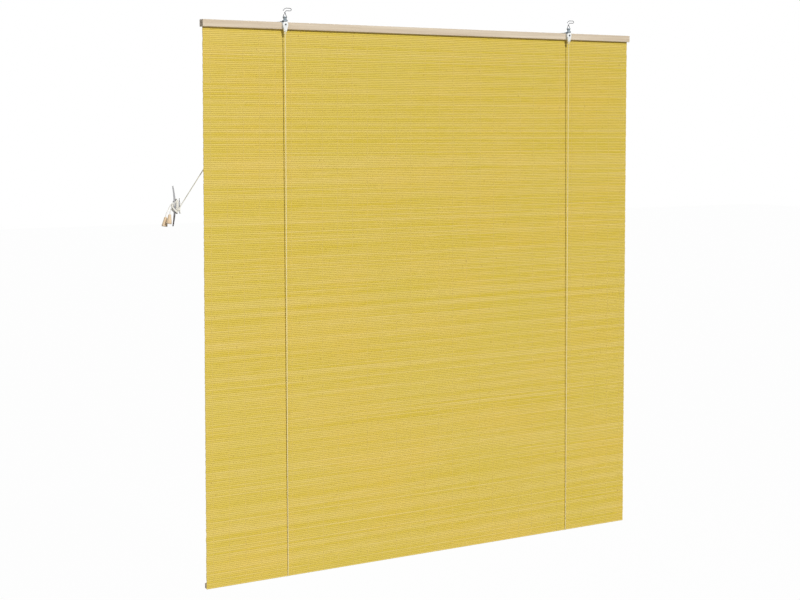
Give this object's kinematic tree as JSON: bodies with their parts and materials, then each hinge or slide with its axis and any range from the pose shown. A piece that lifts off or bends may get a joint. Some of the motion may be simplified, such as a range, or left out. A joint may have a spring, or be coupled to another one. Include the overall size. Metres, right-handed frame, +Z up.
{
  "type": "bamboo roller blind",
  "caption": "Roll-up window blind of fine yellow bamboo slats hung from a wooden head rail by wire hooks, with lift cords round the mat, pulleys, a wall cleat and wooden tassels.",
  "frame": {"origin": "midpoint of the hanging line through the two hook eyes, where the wire bears on its support", "axes": "+X along the rail to the right as seen from the room, +Y towards the wall, +Z up"},
  "size_m": [1.6145, 0.0683, 1.6432],
  "materials": {
    "rail_wood": "planed softwood, bare",
    "bamboo": "dyed yellow bamboo, satin",
    "thread": "thin cotton thread",
    "zinc": "galvanised",
    "screw_steel": "dull steel",
    "white_plastic": "moulded, satin",
    "cord": "braided cord",
    "cleat_metal": "plated, satin",
    "tassel_wood": "turned, bare"
  },
  "bodies": {
    "frame": {"front_lath": "rail_wood", "back_lath": "rail_wood", "lath_nails": "screw_steel", "bamboo_mat": "bamboo", "warp_threads": "thread", "left_saddle": "zinc", "right_saddle": "zinc", "left_stud": "zinc", "right_stud": "zinc", "left_hook": "zinc", "right_hook": "zinc", "left_anchor": "white_plastic", "right_anchor": "white_plastic", "anchor_screws": "screw_steel", "cord_knots": "cord", "left_pulley_frame": "white_plastic", "right_pulley_frame": "white_plastic", "axle_screws": "screw_steel", "left_lift_cord": "cord", "right_lift_cord": "cord", "cross_cord": "cord", "left_pull_cord": "cord", "right_pull_cord": "cord", "cleat": "cleat_metal", "cord_wrap": "cord", "left_tassel": "tassel_wood", "right_tassel": "tassel_wood", "tassel_knots": "cord"},
    "bottom_bar": {"bottom_bar": "rail_wood"},
    "left_sheave": {"left_sheave": "white_plastic"},
    "right_sheave": {"right_sheave": "white_plastic"}
  },
  "joints": [
    {"name": "blind_lift", "type": "slide", "parent": "frame", "child": "bottom_bar", "axis": [0, 0, 1], "range_m": [0, 1.48], "deforming": ["bamboo_mat", "warp_threads", "left_lift_cord", "right_lift_cord"]},
    {"name": "left_sheave_spin", "type": "hinge", "parent": "frame", "child": "left_sheave", "pos_m": [-0.5, 0.033, -0.0477], "axis": [0, 1, 0], "continuous": true},
    {"name": "right_sheave_spin", "type": "hinge", "parent": "frame", "child": "right_sheave", "pos_m": [0.5, 0.033, -0.0477], "axis": [0, 1, 0], "continuous": true}
  ],
  "couplings": [
    {"joint": "left_sheave_spin", "follows": "blind_lift", "rad_per_m": -270.27},
    {"joint": "right_sheave_spin", "follows": "blind_lift", "rad_per_m": -270.27}
  ]
}
